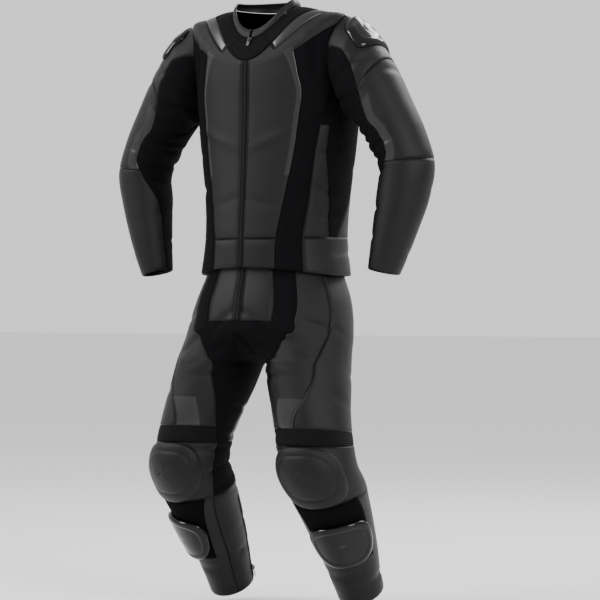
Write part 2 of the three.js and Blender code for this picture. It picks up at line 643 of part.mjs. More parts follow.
function zips() {
  const rim = torso[torsoRow(12)].left[0];
  const below = torso[torsoRow(11.5)].left[0];
  const foot = rim.p.clone().lerp(below.p, 0.5);
  const along = below.p.clone().sub(rim.p).normalize();
  const out = rim.n.clone().add(below.n);
  out.addScaledVector(along, -out.dot(along)).normalize();
  zipPull('front_zip', foot, along, out, TAB.front_length);
  for (const side of SIDES) {
    const corner = [15, 16].map((at) => [OUTER, OUTER + 1].map((j) => legs[side][legRow(at)][j]));
    const [top, bottom] = corner.map(([a, b]) => a.p.clone().add(b.p).multiplyScalar(0.5));
    const down = bottom.clone().sub(top).normalize();
    const normal = corner.flat().reduce((sum, n) => sum.add(n.n), vec(0, 0, 0));
    normal.addScaledVector(down, -normal.dot(down)).normalize();
    zipPull(`ankle_zip_${side}`, top.lerp(bottom, ANKLE_PULL_PLACE), down, normal, TAB.ankle_length);
  }
}

jacket();
sleeves();
trousers();
connectionZip();
zips();
export default suit;
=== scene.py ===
import math
import bpy
import numpy as np
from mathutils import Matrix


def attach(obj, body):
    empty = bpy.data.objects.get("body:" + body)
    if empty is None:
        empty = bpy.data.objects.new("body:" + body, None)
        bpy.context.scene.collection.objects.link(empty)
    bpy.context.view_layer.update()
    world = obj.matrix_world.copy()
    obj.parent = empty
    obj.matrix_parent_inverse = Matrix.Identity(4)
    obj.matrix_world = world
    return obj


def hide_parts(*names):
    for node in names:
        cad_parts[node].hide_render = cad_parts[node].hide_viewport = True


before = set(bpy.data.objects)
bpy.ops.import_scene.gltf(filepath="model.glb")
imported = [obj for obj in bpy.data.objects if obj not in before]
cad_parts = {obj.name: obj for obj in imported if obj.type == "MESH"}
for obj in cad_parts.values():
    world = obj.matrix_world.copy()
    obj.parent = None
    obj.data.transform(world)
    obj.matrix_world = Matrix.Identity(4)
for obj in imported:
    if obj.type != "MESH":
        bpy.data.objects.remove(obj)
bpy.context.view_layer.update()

# Torso: a tube of rings joined by smooth curves, as a fine grid of points with FINE steps to each panel cell.
# Lengths are millimetres and angles degrees until a mesh is made. Each ring row starts with its number, then
# front, side and back height, half width, front, side and back depth, and the powers drop and taper. A seam
# row gives the angles of zip, gloss edge, front edge, wedge front and back, side and stretch back.
FINE = 6
ARMPIT = 4
SHOULDER = 8
TORSO_ROWS = [
    0, .5, 1, 1.5, 2, 2.5, 3, 3.4, 3.75, 4, 4.5, 5, 5.5, 6, 6.5, 7, 7.5, 8, 9, 10, 11, 11.5, 12,
]
TORSO = [
    [0, -571, -589, -592, 180, -159, -4, 150, 2, .92], [1, -505, -501, -503, 168, -157, 0, 151, 2, .92],
    [2, -411, -411, -411, 172, -150, 4, 157, 2, .92], [3, -310, -310, -310, 187, -144, 6, 158, 2, .92],
    [4, -223, -223, -223, 199, -141, 6, 156, 2, .92], [5, -185, -150, -168, 204, -140, 4, 154, 2, .94],
    [6, -150, -83, -112, 207, -140, -6, 147, 2.2, 1], [7, -122, -32, -62, 209, -139, -18, 134, 2.4, 1.1],
    [8, -106, 8, -22, 207, -138, -36, 116, 2.6, 1.25], [9, -99, 17, -4, 170, -137, -42, 98, 3.2, 1.5],
    [10, -92, 23, 10, 145, -134, -45, 84, 4.4, 1.8], [11, -66, 31, 23, 112, -126, -45, 58, 3.2, 1.5],
    [12, -40, 34, 31, 82, -114, -44, 27, 2, 1],
]
TORSO_SEAMS = [
    [0, 1.6, 21, 26.5, 50, 82, 86, 92], [1, 1.6, 24, 29, 51.7, 79, 83.5, 88],
    [2, 1.6, 30, 34, 55.5, 76, 90, 108], [3, 1.6, 34, 38, 55.5, 67, 90, 111],
    [4, 1.6, 35.5, 39.5, 57, 66, 90, 114], [5, 1.6, 36.5, 40.5, 49, 57, 90, 134],
    [6, 1.6, 33, 37, 45, 52, 90, 138], [8, 1.6, 26, 33, 50, 68, 90, 140],
    [12, 1.6, 22, 34, 52, 70, 90, 140],
]
ARMHOLE = [[4, 0], [4.5, 17], [5, 24], [5.5, 28], [6, 30], [6.5, 30], [7, 28], [7.5, 20], [8, 0]]


def smooth(rows, at):
    """Every column of a table at the given numbers, as cubic curves with the slopes of the rows on each side."""
    rows = np.array(rows, float)
    at = np.asarray(at, float)
    n = len(rows)
    lo, hi = np.maximum(np.arange(n) - 1, 0), np.minimum(np.arange(n) + 1, n - 1)
    slope = (rows[hi] - rows[lo]) / (rows[hi, :1] - rows[lo, :1])
    i = np.clip(np.searchsorted(rows[:, 0], at, "right") - 1, 0, n - 2)
    step = (rows[i + 1, 0] - rows[i, 0])[:, None]
    t = (at - rows[i, 0])[:, None] / step
    p, q, a, b = rows[i], rows[i + 1], slope[i] * step, slope[i + 1] * step
    return (p + t * (a + t * (3 * (q - p) - 2 * a - b + t * (2 * (p - q) + a + b)))).T


def body_points(ring, degrees):
    """Rings like a rounded rectangle: x follows the sine of the angle, depth and height powers of its cosine."""
    at, front_z, side_z, back_z, half, front_y, side_y, back_y = [c[:, None] for c in ring[:8]]
    drop, taper = (ring[8][:, None], ring[9][:, None]) if len(ring) > 8 else (2, .95)
    s, c = np.sin(np.radians(degrees)), np.cos(np.radians(degrees))
    end_y, end_z = np.where(c > 0, front_y, back_y), np.where(c > 0, front_z, back_z)
    x = half * np.sign(s) * np.abs(s) ** .95
    y = side_y + (end_y - side_y) * np.abs(c) ** taper
    return np.stack([x, y, side_z + (end_z - side_z) * np.abs(c) ** drop], -1)


def spread(marks, count):
    """Angles at every fine column from the angles at the whole columns."""
    marks = np.array(marks)
    return np.array([np.interp(np.arange(count * FINE + 1) / FINE, np.arange(count + 1), m) for m in marks])


def fine_rows(rows):
    """Row numbers at every fine row: FINE equal steps from each row to the next, then the last row."""
    return np.concatenate([np.linspace(a, b, FINE, endpoint=False) for a, b in zip(rows, rows[1:])] + [[rows[-1]]])


def torso_half(sign):
    """One side from the zip to the middle of the back, its two side seams set apart by the armhole."""
    at = fine_rows(TORSO_ROWS)
    ring, line = smooth(TORSO, at), smooth(TORSO_SEAMS, at)
    gap = np.where((at > ARMPIT) & (at < SHOULDER), smooth(ARMHOLE, at)[1], 0)
    marks = []
    for a, g, (_, zip_, gloss, edge, w1, w2, side, back) in zip(at, gap, line.T):
        front, rear = side - g, side + g
        if g:
            w1, w2 = edge + (front - edge) / 3, edge + (front - edge) * 2 / 3
        elif a > ARMPIT:
            w1, w2 = min(w1, front - 3), min(w2, front - 3)
        marks.append([0, zip_, (zip_ + gloss) / 2, gloss, edge, w1, w2, front, rear]
                     + list(np.linspace(back, 180, 5)))
    grid = body_points(ring, sign * spread(marks, 13))
    grid[:, 0, 0] = 0
    grid[:, -1, 0] = 0
    return grid


# Sleeve: rings with their middle, outward and forward radius and lean. Angles run from -90 at the armpit over
# 0 in front and 90 on top. A seam row gives the stretch panel's front edge and the gloss panel's edge.
SLEEVE_ROWS = [0, .5, 1, 1.5, 2, 2.6, 3.2, 3.9, 4.6, 5.2, 5.8, 6.4, 7.2, 8, 9, 10]
SLEEVE = [
    [1, 229, -20, -120, 106, 80, 80], [2, 257, -20, -147, 90, 80, 67], [3, 284, -20, -184, 79, 75, 54],
    [4, 311, -22, -230, 70, 71, 39], [5, 341, -22, -286, 67, 68, 20], [6, 363, -22, -345, 64, 65, 3],
    [7, 354, -24, -411, 60, 62, -8], [8, 342, -31, -470, 53, 55, -11], [9, 328, -37, -530, 45, 47, -12],
    [10, 314, -41, -582, 37, 39, -13],
]
SLEEVE_SEAMS = [
    [0, 22, 45], [1, 22, 45], [2, 12, 35], [3, -5, 18], [4, -14, 6], [4.6, -6, 14], [5.4, -8, 14],
    [6, -30, -4], [7, -60, -38], [8, -70, -50], [10, -74, -54],
]
ARM_TOP = 96
INNER_BACK_START = 230
INNER_BACK_TURN = 1.5


def sleeve_half(sign, half):
    """A sleeve whose top is a curve of three points: the armhole's rim, a bend and the first ring.

    With t from 0 at the rim to 1 at the ring: (1 - t)^2 rim + 2 t (1 - t) bend + t^2 ring.
    """
    at = fine_rows(SLEEVE_ROWS)

    def arm(v):
        _, x, y, z, outward, forward, lean = [c[:, None] for c in smooth(SLEEVE, v)]
        marks = []
        for a, (_, edge, gloss) in zip(v, smooth(SLEEVE_SEAMS, v).T):
            back = INNER_BACK_START + min(a, 8) * INNER_BACK_TURN
            marks.append(list(np.linspace(-90, edge, 6)) + [gloss, (gloss + ARM_TOP) / 2]
                         + list(np.linspace(ARM_TOP, back, 6)) + list(np.linspace(back, 270, 4))[1:])
        d = np.radians(spread(marks, 16))
        s, c, lean = np.sin(d) * outward, np.cos(d) * forward, np.radians(lean)
        return np.stack([sign * (x + s * np.cos(lean)), y - c, z + s * np.sin(lean)], -1)

    lower = arm(np.maximum(at, 1))
    col = np.arange(16 * FINE + 1) / FINE
    rim_at = np.where(col <= 8, 4 + col / 2, 12 - col / 2)
    rows = fine_rows(TORSO_ROWS)
    rim = np.array([half[np.argmin(abs(rows - r)), (7 if c <= 8 else 8) * FINE] for r, c in zip(rim_at, col)])
    first, second = arm(np.array([1.0, 1.5]))
    bend = (rim + first) / 2 - (second - first) / 2
    t = np.clip(at, 0, 1)[:, None, None]
    top = (1 - t) ** 2 * rim + 2 * t * (1 - t) * bend + t * t * first
    return np.where((at < 1)[:, None, None], top, lower)


# Trousers: half rings at the hips, then leg rings with their middle, width, depth, pitch and the angle by which
# the outer seams run past front and back. A seam row gives zip, fly, stretch edge, cup inner, front seam, cup
# outer and outer seam.
LEG_ROWS = [
    0, 1, 1.6, 2.2, 2.7, 3.2, 4, 5, 6, 7, 7.6, 8.2, 8.9, 9.5, 10, 10.5, 11.2, 12, 12.6, 13.2, 13.9, 15, 16,
]
HIPS = [
    [0, -548, -548, -540, 156, -147, -8, 132], [1, -586, -586, -580, 164, -150, -9, 137],
    [2, -640, -645, -636, 188, -164, -15, 140], [3, -686, -696, -676, 202, -172, -27, 132],
    [4, -716, -742, -706, 212, -176, -38, 112],
]
LEG = [
    [5, 121, -58, -794, 97, 113, -6, 60], [6, 132, -70, -840, 96, 104, -9, 62],
    [7, 144, -83, -886, 92, 98, -10, 70], [8, 157, -94, -935, 89, 93, -6, 80],
    [9, 167, -100, -982, 89, 91, 0, 84], [10, 175, -99, -1030, 91, 91, 8, 80],
    [11, 179, -66, -1078, 89, 88, 20, 70], [12, 180, -35, -1122, 82, 82, 28, 62],
    [13, 180, -1, -1175, 75, 75, 30, 62], [14, 180, 34, -1232, 66, 67, 31, 62],
    [15, 180, 61, -1285, 58, 60, 31, 62], [16, 181, 84, -1328, 54, 56, 31, 62],
]
LEG_SEAMS = [
    [0, 1.6, 26, 46, 55, 73, 100, 135], [2, 1.6, 26, 44.5, 54, 73, 100, 135],
    [3, 1.6, 24, 41, 52, 72, 98, 135], [4, 1.6, 18, 34, 45, 66, 94, 135],
    [5, -50, -36, -24, 4, 46, 88, 138], [6, -55, -44, -34, -6, 38, 84, 140],
    [7, -62, -56, -50, -20, 22, 78, 142], [8, -74, -68, -62, -36, 2, 72, 144],
    [9, -80, -76, -72, -44, 4, 68, 146], [10, -76, -72, -68, -48, 8, 70, 148],
    [11, -66, -62, -58, -42, 14, 76, 150], [12, -58, -54, -50, -30, 27, 84, 152],
    [14, -58, -54, -48, -22, 30, 84, 152], [16, -58, -54, -48, -22, 30, 84, 152],
]
CROTCH_Z = -766
CROTCH = 4
ZIP_ANGLE = 9


def leg_half(sign):
    """One side of the trousers: the hips down to the crotch, a straight step to the first leg ring, the leg."""
    at = fine_rows(LEG_ROWS)

    def marks(v):
        found = []
        line, opening = smooth(LEG_SEAMS, v), smooth(LEG, np.maximum(v, 5))[7]
        for a, o, (_, zip_, fly, stretch, inner, seam, outer, back) in zip(v, opening, line.T):
            o = 0 if a <= CROTCH else o
            found.append([-o, zip_, fly, stretch, inner, (inner + seam) / 2, seam, (seam + outer) / 2, outer,
                          (outer + back) / 2, back, (back + 180 + o) / 2, 180 + o, 180 + ZIP_ANGLE + o,
                          270 + ZIP_ANGLE / 2, 360 - o])
        return spread(found, 15)

    def hips(v):
        grid = body_points(smooth(HIPS, v), marks(v))
        grid[:, 0, 0] = 0
        grid[:, 12 * FINE:, 0] = 0
        return grid

    def leg(v):
        _, x, y, z, across, deep, pitch, _ = [c[:, None] for c in smooth(LEG, v)]
        d, pitch = np.radians(marks(v)), np.radians(pitch)
        c = np.cos(d) * deep
        return np.stack([x + np.sin(d) * across, y - c * np.cos(pitch), z - c * np.sin(pitch)], -1)

    upper, lower = hips(np.minimum(at, CROTCH)), leg(np.maximum(at, CROTCH + 1))
    rim = hips(np.array([float(CROTCH)]))[0]
    t = np.clip(np.arange(len(rim)) / FINE - 12, 0, 3)[:, None] / 3
    front, back = rim[0], rim[12 * FINE]
    under = back + (front - back) * (.5 - .5 * np.cos(np.pi * t))
    under[:, 2] = (back + (front - back) * t)[:, 2]
    under[:, 2] += (CROTCH_Z - under[:, 2]) * np.sin(np.pi * t[:, 0]) ** .7
    rim = np.where(t > 0, under, rim)
    upper = np.where((at >= CROTCH)[:, None, None], rim, upper)
    share = np.clip(at - CROTCH, 0, 1)[:, None, None]
    below = lower[np.argmin(abs(at - CROTCH - 1))]
    grid = np.where((at <= CROTCH)[:, None, None], upper, rim + (below - rim) * share)
    grid = np.where((at >= CROTCH + 1)[:, None, None], lower, grid)
    return grid * [sign, 1, 1]


# Creases: soft troughs and ridges. Each has its middle as row and column, its half length and half
# width in millimetres, its turn from the row's direction in degrees, and its height, below 0 for a trough.
TORSO_CREASES = [
    (4.4, 6.1, 70, 7, 62, -5), (4.0, 5.2, 85, 8, 40, -4), (3.1, 6.3, 60, 6, 12, -3),
    (2.2, 5.5, 75, 7, -8, -3.5), (1.6, 6.4, 60, 6, 6, -3), (1.1, 3.2, 70, 6, 10, -2.2),
    (.6, 9.5, 80, 7, 0, -3), (2.6, 10.5, 95, 9, -6, -3), (4.2, 9.6, 80, 8, -30, -4),
    (5.3, 10.2, 85, 9, -45, -3), (6.5, 5.6, 50, 6, 70, -4), (7.4, 4.6, 45, 6, 60, 2.5),
    (3.4, 2.2, 70, 10, 25, 2), (1.9, 2.0, 60, 8, -15, -1.8),
]
SLEEVE_CREASES = [
    (.9, 2.0, 60, 6, 60, -5), (1.4, 4.4, 60, 7, 40, -4), (1.9, 14.6, 55, 6, 30, -4),
    (3.4, 1.5, 45, 6, 20, -4), (4.2, 2.5, 55, 6, 12, -5.5), (4.7, .8, 50, 5.5, 0, -5),
    (5.1, 3.6, 60, 6, -12, -5), (5.6, 1.8, 50, 6, 4, -4), (6.2, 3.4, 45, 6, -20, -3.5),
    (4.5, 15.0, 45, 6, 6, -4), (5.4, 14.4, 50, 6, -8, -4), (7.6, 4.8, 50, 6, 12, -3),
    (8.6, 1.6, 45, 5, -8, -3), (9.2, 9.5, 45, 5, 10, -2.5), (3.0, 7.5, 60, 8, 18, -2.5),
    (6.6, 10.5, 60, 7, -14, -3),
]
LEG_CREASES = [
    (3.6, 1.5, 75, 6, 38, -6), (4.1, 3.2, 85, 7, 30, -5), (4.6, 2.2, 75, 7, 22, -6),
    (5.2, 1.4, 60, 6, 10, -5), (3.0, 5.2, 70, 7, 24, -3), (5.9, 2.4, 60, 7, 8, -4),
    (4.6, 11.2, 80, 8, -16, -5), (5.4, 10.4, 75, 8, -8, -4), (7.2, 12.5, 60, 6, 4, -5),
    (8.6, 12.4, 60, 6, 0, -6), (9.3, 13.2, 60, 6, -4, -7), (10.2, 12.6, 60, 6, 4, -7),
    (10.9, 13.4, 60, 6, 8, -6), (11.5, 12.2, 55, 6, -6, -4), (13.0, 11.4, 60, 8, 12, -3),
    (14.4, 4.6, 55, 6, -8, -4), (15.1, 8.6, 50, 6, 6, -4), (14.0, 13.8, 50, 6, -10, -3.5),
    (2.4, 10.6, 70, 8, 6, -3), (6.6, 7.4, 70, 9, 10, -2),
]


CREASE_DEPTH = 1.3
CREASE_WOBBLE = 3
CREASE_REACH = 60


def crease_heights(grid, rows, creases, seed):
    """Height of the creases at each point: a bell across each one, a softer bell along it, with a slow wobble."""
    at, col = fine_rows(rows), np.arange(grid.shape[1]) / FINE
    height = np.zeros(grid.shape[:2])
    rng = np.random.default_rng(seed)
    for row, column, length, width, turn, deep in creases:
        i, j = np.argmin(abs(at - row)), np.argmin(abs(col - column))
        i, j = min(max(i, 1), len(at) - 2), min(max(j, 1), len(col) - 2)
        length, width, deep = np.array([length, width, deep]) * rng.uniform(.85, 1.15, 3)
        along = grid[i, j + 1] - grid[i, j - 1]
        along /= np.linalg.norm(along)
        down = grid[i + 1, j] - grid[i - 1, j]
        down -= along * (down @ along)
        down /= np.linalg.norm(down) + 1e-9
        turn = math.radians(turn)
        rel = grid - grid[i, j]
        u = rel @ (along * math.cos(turn) + down * math.sin(turn))
        v = rel @ (down * math.cos(turn) - along * math.sin(turn))
        v = v + CREASE_WOBBLE * np.sin(u / length * 2.4 + rng.uniform(0, 6))
        off = rel @ np.cross(along, down)
        bell = np.exp(-(v / width) ** 2 - (u / length) ** 2 * 1.6 - (off / CREASE_REACH) ** 4)
        height += deep * CREASE_DEPTH * bell
    return height


class Tube:
    """A fine grid with its points and crease heights. Its row and column numbers find the panels on it."""
    def __init__(self, grid, rows, creases, seed, turned):
        self.grid, self.rows, self.turned = grid, rows, turned
        self.height = crease_heights(grid, rows, creases, seed)
        self.normal = np.zeros_like(grid)

    def faces(self, top, bottom, left, right):
        """Quads of grid positions between two row numbers and two columns."""
        i0, i1 = self.rows.index(top) * FINE, self.rows.index(bottom) * FINE
        i, j = np.meshgrid(np.arange(i0, i1), np.arange(left * FINE, right * FINE), indexing="ij")
        wide = self.grid.shape[1]
        quad = np.stack([i * wide + j, i * wide + j + 1, (i + 1) * wide + j + 1, (i + 1) * wide + j], -1)
        quad = quad.reshape(-1, 4)
        return quad[:, ::-1] if self.turned else quad


SIGNS = {"left": 1, "right": -1}
SIDES = ("left", "right")
torso = {side: Tube(torso_half(sign), TORSO_ROWS, TORSO_CREASES, 3, sign < 0) for side, sign in SIGNS.items()}
sleeve = {side: Tube(sleeve_half(sign, torso[side].grid), SLEEVE_ROWS, SLEEVE_CREASES, 8, sign > 0)
          for side, sign in SIGNS.items()}
leg = {side: Tube(leg_half(sign), LEG_ROWS, LEG_CREASES, 5, sign > 0) for side, sign in SIGNS.items()}


def welded(points):
    """The first point at each place, to a hundredth of a millimetre, and the place of every point."""
    _, first, index = np.unique(np.round(points, 2), axis=0, return_index=True, return_inverse=True)
    return first, index.reshape(-1)


def share_normals():
    """Adds each quad's normal to its corners, joined wherever tubes meet, so that neighbouring panels match."""
    blocks = []
    for side in SIDES:
        blocks += [(torso[side], (0, 4, 0, 7)), (torso[side], (0, 4, 8, 13)), (torso[side], (4, 8, 0, 7)),
                   (torso[side], (4, 8, 8, 13)), (torso[side], (8, 12, 0, 7)), (torso[side], (8, 12, 8, 13)),
                   (sleeve[side], (0, 10, 0, 16)), (leg[side], (0, 16, 0, 12)), (leg[side], (4, 16, 12, 15))]
    tubes = [*torso.values(), *sleeve.values(), *leg.values()]
    start = dict(zip(map(id, tubes), np.cumsum([0] + [t.grid.shape[0] * t.grid.shape[1] for t in tubes])))
    points = np.concatenate([t.grid.reshape(-1, 3) for t in tubes])
    _, index = welded(points)
    total = np.zeros((index.max() + 1, 3))
    for tube, rect in blocks:
        quad = tube.faces(*rect) + start[id(tube)]
        p = points[quad]
        normal = np.cross(p[:, 2] - p[:, 0], p[:, 3] - p[:, 1])
        for k in range(4):
            np.add.at(total, index[quad[:, k]], normal)
    total /= np.linalg.norm(total, axis=1)[:, None] + 1e-9
    for tube in tubes:
        count = tube.grid.shape[0] * tube.grid.shape[1]
        tube.normal = total[index[start[id(tube)]:start[id(tube)] + count]].reshape(tube.grid.shape)


share_normals()


# Finishes: leather, plain, perforated and glossy, stretch cloth, plain and ribbed, moulded plastic, loop pile,
# zip tape, zip metal and thread. Patterns follow the cloth attribute, in millimetres on the panel.
class Socket:
    """One shader socket that takes part in sums: each operator adds a maths node and gives its output."""
    def __init__(self, tree, out):
        self.tree, self.out = tree, out

    def node(self, kind, values=(), **settings):
        made = self.tree.nodes.new(kind)
        for key, value in settings.items():
            setattr(made, key, value)
        for key, value in dict(values).items():
            if isinstance(value, Socket):
                self.tree.links.new(value.out, made.inputs[key])
            else:
                made.inputs[key].default_value = value
        return made

    def maths(self, kind, *others):
        """The maths node of that kind on this socket and the others."""
        terms = enumerate((self, *others))
        return Socket(self.tree, self.node("ShaderNodeMath", terms, operation=kind).outputs[0])

    def __add__(self, other):
        return self.maths("ADD", other)

    def __sub__(self, other):
        return self.maths("SUBTRACT", other)

    def __rsub__(self, other):
        return self * -1 + other

    def __mul__(self, other):
        return self.maths("MULTIPLY", other)

    def __truediv__(self, other):
        return self.maths("DIVIDE", other)

    __radd__, __rmul__ = __add__, __mul__


WHOLE_TURN = 6.283
HOLE_SHARE = .22
HOLE_MARGIN = 9.0
HOLE_SHADE = .75
HOLE_DEPTH = 2.0
SEAM_LINE = .9
SEAM_SHADE = .35


def finish(name, colour, rough, grain=.9, bump=.25, weave=0, holes=0, ribs=0, metal=0, coat=0, shine=.2):
    """Base colour with a slow mottle, with painted shade along the seams and in the holes; bump of grain, weave,
    ribs and holes.

    grain, weave, holes and ribs are the widths of one grain, thread, hole step and rib in millimetres, or 0.
    """
    made = bpy.data.materials.new(name)
    made.use_nodes = True
    tree = made.node_tree
    shader = tree.nodes["Principled BSDF"]
    start = Socket(tree, None)
    place = Socket(tree, start.node("ShaderNodeTexCoord").outputs["Object"])
    cut = start.node("ShaderNodeSeparateXYZ", {0: Socket(tree, start.node(
        "ShaderNodeAttribute", attribute_name="cloth").outputs["Vector"])})
    u, v, edge = [Socket(tree, cut.outputs[k]) for k in range(3)]
    slow = {"Vector": place, "Scale": 14.0, "Detail": 4.0}
    quick = {"Vector": place, "Scale": 420.0, "Detail": 2.0}
    mottle = Socket(tree, start.node("ShaderNodeTexNoise", slow).outputs[0])
    fine = Socket(tree, start.node("ShaderNodeTexNoise", quick).outputs[0])
    relief = fine * .3
    if grain:
        cell = start.node("ShaderNodeTexVoronoi", {"Vector": place, "Scale": 1000 / grain})
        relief = relief + Socket(tree, cell.outputs["Distance"])
    if weave:
        relief = relief + (u * (WHOLE_TURN / weave)).maths("SINE") * .5
        relief = relief + (v * (WHOLE_TURN / weave)).maths("SINE") * .5
    if ribs:
        relief = relief + (v * (WHOLE_TURN / ribs)).maths("SINE") * 2.5
    value = mottle * .5 + .75
    if holes:
        across = (u / holes).maths("PINGPONG", .5) - .5
        down = (v / holes).maths("PINGPONG", .5) - .5
        near = (across * across + down * down).maths("SQRT")
        punched = near.maths("LESS_THAN", HOLE_SHARE) * edge.maths("GREATER_THAN", HOLE_MARGIN)
        # Painted shade: each hole's colour is darkened by HOLE_SHADE on top of its sunken bump.
        value = value * (1 - punched * HOLE_SHADE)
        relief = relief - punched * HOLE_DEPTH
    seam = edge.maths("LESS_THAN", SEAM_LINE)
    # Painted shade: a darker line along each panel's border, where the rolled edges sink between the panels.
    value = value * (1 - seam * SEAM_SHADE)
    shade = start.node("ShaderNodeVectorMath", {0: colour[:3], "Scale": value}, operation="SCALE")
    tree.links.new(shade.outputs[0], shader.inputs["Base Color"])
    tree.links.new((mottle * .16 + (rough - .08)).out, shader.inputs["Roughness"])
    ridge = start.node("ShaderNodeBump", {"Height": relief, "Strength": bump, "Distance": .0006})
    tree.links.new(ridge.outputs[0], shader.inputs["Normal"])
    shader.inputs["Metallic"].default_value = metal
    shader.inputs["Coat Weight"].default_value = coat
    shader.inputs["Specular IOR Level"].default_value = shine
    shader.inputs["Coat Roughness"].default_value = .12
    return made


LEATHER = finish("leather", (.0042, .0042, .0048), .4, bump=.5, shine=.16)
PERFORATED = finish("perforated_leather", (.005, .005, .0057), .42, bump=.6, holes=3.4, shine=.16)
STRETCH = finish("stretch_cloth", (.0022, .0022, .0028), .85, grain=0, bump=.5, weave=1.6, shine=.06)
RIBBED = finish("ribbed_stretch", (.003, .003, .0037), .78, grain=0, bump=.8, ribs=4.2, shine=.1)
GLOSS = finish("gloss_leather", (.011, .011, .012), .3, grain=.5, bump=.08, coat=.08, shine=.3)
PLASTIC = finish("gloss_plastic", (.001, .001, .0012), .1, grain=0, bump=.02, coat=.05, shine=.22)
LOOP = finish("loop_pile", (.0018, .0018, .0022), .92, grain=.35, bump=.9, shine=.05)
TAPE = finish("zip_tape", (.003, .003, .0035), .75, grain=0, bump=.5, weave=.9, shine=.1)
METAL = finish("zip_metal", (.09, .09, .095), .32, grain=0, bump=.04, metal=.9, shine=.5)
THREAD = finish("thread", (.016, .016, .018), .55, grain=0, bump=.2)
TEETH = finish("zip_teeth", (.012, .012, .013), .35, grain=0, bump=.05, shine=.5)


# Panels: each is cut from the tubes between named seams and made a thin shell with rolled edges. Leather panels
# carry a double row of stitches inside their border.
SHELL = 1.4
ROLL = 1.1
ROLL_REACH = 1.6
RELAXED = 14
FAR_INSIDE = 60.0


def mesh_object(name, points, faces, materials, slots=None, cloth=None, thick=SHELL):
    """A mesh in metres from millimetre points, with its cloth attribute and a Solidify modifier inward."""
    mesh = bpy.data.meshes.new(name)
    mesh.from_pydata((np.asarray(points) / 1000).tolist(), [], np.asarray(faces).tolist())
    for material in materials:
        mesh.materials.append(material)
    if slots is not None:
        mesh.polygons.foreach_set("material_index", np.asarray(slots, np.int32))
    if cloth is not None:
        layer = mesh.attributes.new("cloth", "FLOAT_VECTOR", "POINT")
        layer.data.foreach_set("vector", np.asarray(cloth, np.float32).ravel())
    mesh.polygons.foreach_set("use_smooth", np.ones(len(mesh.polygons), bool))
    made = bpy.data.objects.new(name, mesh)
    bpy.context.scene.collection.objects.link(made)
    if thick:
        shell = made.modifiers.new("shell", "SOLIDIFY")
        shell.thickness, shell.offset = thick / 1000, -1
    return made


def edge_distance(points, faces):
    """Millimetres from each point to the panel's border, relaxed outward along the mesh's edges."""
    around = [faces[:, [k, (k + 1) % 4]] for k in range(4)]
    pairs = np.concatenate(around + [faces[:, [0, 2]], faces[:, [1, 3]]])
    sides = np.sort(pairs[:len(faces) * 4], axis=1)
    unique, count = np.unique(sides, axis=0, return_counts=True)
    border = unique[(count == 1) & (unique[:, 0] != unique[:, 1])]
    reach = np.full(len(points), FAR_INSIDE)
    reach[border.ravel()] = 0
    span = np.linalg.norm(points[pairs[:, 0]] - points[pairs[:, 1]], axis=1)
    for _ in range(RELAXED):
        np.minimum.at(reach, pairs[:, 0], reach[pairs[:, 1]] + span)
        np.minimum.at(reach, pairs[:, 1], reach[pairs[:, 0]] + span)
    return reach


def beads(name, centres, along, out, size, material):
    """Small diamonds of eight faces, one at each centre, longest along the seam: stitches or zip teeth."""
    side = np.cross(along, out)
    tips = [(along, 0), (side, 1), (out, 2)]
    points = np.stack([centres + sign * axis * size[k] / 2 for axis, k in tips for sign in (1, -1)], 1)
    corners = np.array([[0, 2, 4], [2, 1, 4], [1, 3, 4], [3, 0, 4], [2, 0, 5], [1, 2, 5], [3, 1, 5], [0, 3, 5]])
    faces = (np.arange(len(centres))[:, None, None] * 6 + corners).reshape(-1, 3)
    made = mesh_object(name, points.reshape(-1, 3), faces, [material], thick=0)
    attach(made, "suit")
    return made


STITCH = (3.0, .9, .9)
STITCH_STEP = 3.8
STITCH_ROWS = (3.0, 6.0)
STITCH_LIFT = .1


def stitches(name, points, normals, faces):
    """Double rows inside a panel's border: stitches at equal steps along each border edge, moved inward."""
    edges = np.concatenate([faces[:, [k, (k + 1) % 4]] for k in range(4)])
    key = edges[:, 0] * len(points) + edges[:, 1]
    back = edges[:, 1] * len(points) + edges[:, 0]
    edges = edges[~np.isin(key, back) & (edges[:, 0] != edges[:, 1])]
    p, q = points[edges[:, 0]], points[edges[:, 1]]
    length = np.linalg.norm(q - p, axis=1)
    count = np.maximum(np.round(length / STITCH_STEP).astype(int), 1)
    index = np.repeat(np.arange(len(edges)), count)
    order = np.arange(len(index)) - np.repeat(np.cumsum(count) - count, count)
    t = ((order + .5) / count[index])[:, None]
    along = (q - p)[index] / length[index][:, None]
    out = normals[edges[index, 0]] * (1 - t) + normals[edges[index, 1]] * t
    out -= along * (out * along).sum(1)[:, None]
    out /= np.linalg.norm(out, axis=1)[:, None]
    inward = np.cross(out, along)
    start = p[index] + (q - p)[index] * t
    rows = [start + inward * far - out * (ROLL * math.exp(-far / ROLL_REACH) - STITCH_LIFT)
            for far in STITCH_ROWS]
    beads(name, np.concatenate(rows), np.tile(along, (2, 1)), np.tile(out, (2, 1)), STITCH, THREAD)


def rolled(reach):
    """Sunk by ROLL at the border, fading inward by a factor e at each ROLL_REACH."""
    return -ROLL * np.exp(-reach / ROLL_REACH)


# A cut's length is a little more than the piece's longest side, and its width gives the cut's area.
SHORTEST_CUT = 60
CUT_SHARE = 1.06


